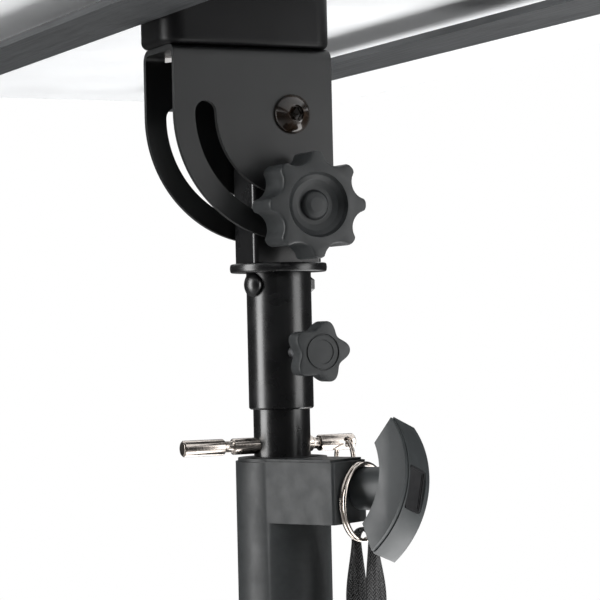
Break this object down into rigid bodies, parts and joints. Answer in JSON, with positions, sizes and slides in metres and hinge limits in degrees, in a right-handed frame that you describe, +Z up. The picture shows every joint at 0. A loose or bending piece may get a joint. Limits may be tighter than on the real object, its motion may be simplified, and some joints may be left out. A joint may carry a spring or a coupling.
{
  "type": "led panel light",
  "caption": "Flat LED light panel on a tilting slotted bracket with a locking knob, pole socket, telescopic post with safety pin, clamp collar and round floor base.",
  "frame": {"origin": "on the floor, on the post axis", "axes": "+Z up along the post, Y along the tilt axis and the panel's long side, light face up at rest"},
  "size_m": [0.61, 1.16, 1.1],
  "materials": {
    "black_lacquer": "gloss black stoved paint",
    "base_paint": "fine textured black powder coat",
    "grey_moulding": "dark grey glass-filled nylon, fine grain",
    "black_moulding": "black moulded nylon",
    "nickel": "bright nickel plate",
    "zinc": "clear zinc plate",
    "blackened_steel": "blackened, lightly polished",
    "brass": "turned",
    "natural_nylon": "natural nylon",
    "rubber": "black rubber",
    "webbing": "black woven polyester",
    "driver_shell": "satin black",
    "circuit_board": "green solder mask with parts",
    "rail_anodised": "dark grey brushed and anodised",
    "pan_white": "smooth white powder coat",
    "frame_silver": "satin anodised",
    "foam": "closed-cell foam",
    "white_film": "white reflecting film",
    "clear_acrylic": "clear acrylic with a dot pattern",
    "opal_acrylic": "opal acrylic",
    "led_strip": "light-emitting strip"
  },
  "bodies": {
    "stand": {"base_plate": "base_paint", "base_feet": "rubber", "column_flange": "base_paint", "column_screws": "zinc", "lower_tube": "black_lacquer", "clamp_collar": "grey_moulding", "guide_bush": "black_moulding", "handle_nut": "brass", "clamp_shoe": "natural_nylon"},
    "post": {"post": "black_lacquer", "post_guide": "black_moulding", "post_cap": "black_moulding"},
    "pin": {"safety_pin": "nickel"},
    "pin_ring": {"pin_ring": "nickel"},
    "hanger": {"hanging_ring": "nickel", "strap": "webbing"},
    "handle": {"handle_grip": "grey_moulding", "handle_screw": "zinc", "handle_badge": "black_moulding"},
    "head": {"pole_socket": "black_lacquer", "socket_flange": "black_lacquer", "yoke": "black_lacquer", "stop_bolt": "blackened_steel", "tilt_bolt": "zinc", "tilt_washers": "zinc", "spacer_washers": "natural_nylon", "pivot_bolt": "blackened_steel", "pivot_nut": "zinc"},
    "star": {"star_knob": "grey_moulding", "star_screw": "zinc", "star_badge": "black_moulding"},
    "tilt_clamp": {"tilt_knob": "black_moulding", "tilt_knob_insert": "brass"},
    "panel": {"tilt_bracket": "black_lacquer", "bracket_bolts": "zinc", "driver_block": "driver_shell", "driver_board": "circuit_board", "power_inlet": "black_moulding", "rocker_frame": "black_moulding", "dimmer_pot": "zinc", "rail_left": "rail_anodised", "rail_right": "rail_anodised", "rail_standoffs": "zinc", "rail_screws": "blackened_steel", "rail_nuts": "zinc", "rear_pan": "pan_white", "backing_plate": "zinc", "foam_pads": "foam", "reflector": "white_film", "light_guide": "clear_acrylic", "led_strips": "led_strip", "diffuser": "opal_acrylic", "panel_frame": "frame_silver", "frame_screws": "zinc"},
    "rocker": {"power_rocker": "black_moulding"},
    "dimmer": {"dimmer_knob": "black_moulding", "dimmer_shaft": "zinc"}
  },
  "joints": [
    {"name": "height_slide", "type": "slide", "parent": "stand", "child": "post", "axis": [0, 0, 1], "range_m": [0, 0.5]},
    {"name": "clamp_handle_turn", "type": "hinge", "parent": "stand", "child": "handle", "pos_m": [0, 0, 0.7847], "axis": [0.5, -0.866, 0], "range_deg": [0, 360]},
    {"name": "hanger_swing", "type": "hinge", "parent": "stand", "child": "hanger", "pos_m": [0, 0, 0.7847], "axis": [0.5, -0.866, 0], "range_deg": [-15, 15]},
    {"name": "safety_pin_pull", "type": "slide", "parent": "post", "child": "pin", "axis": [1, 0, 0], "range_m": [0, 0.023]},
    {"name": "pin_ring_swing", "type": "hinge", "parent": "pin", "child": "pin_ring", "pos_m": [0.043, 0, 0.8105], "axis": [0, 1, 0], "range_deg": [-60, 25]},
    {"name": "pan", "type": "hinge", "parent": "post", "child": "head", "pos_m": [0, 0, 0.9], "axis": [0, 0, 1], "continuous": true},
    {"name": "star_knob_turn", "type": "hinge", "parent": "head", "child": "star", "pos_m": [0, 0, 0.8673], "axis": [0, -1, 0], "range_deg": [0, 720]},
    {"name": "tilt_knob_turn", "type": "hinge", "parent": "head", "child": "tilt_clamp", "pos_m": [0, 0, 0.955], "axis": [0, -1, 0], "range_deg": [0, 360]},
    {"name": "tilt", "type": "hinge", "parent": "head", "child": "panel", "pos_m": [0, 0, 1.012], "axis": [0, -1, 0], "range_deg": [0, 90]},
    {"name": "power_switch", "type": "hinge", "parent": "panel", "child": "rocker", "pos_m": [-0.044, 0.022, 1.0695], "axis": [0, 0, 1], "range_deg": [0, 14]},
    {"name": "dimmer_turn", "type": "hinge", "parent": "panel", "child": "dimmer", "pos_m": [-0.0195, 0.03, 1.0695], "axis": [0, 1, 0], "range_deg": [0, 270]}
  ]
}
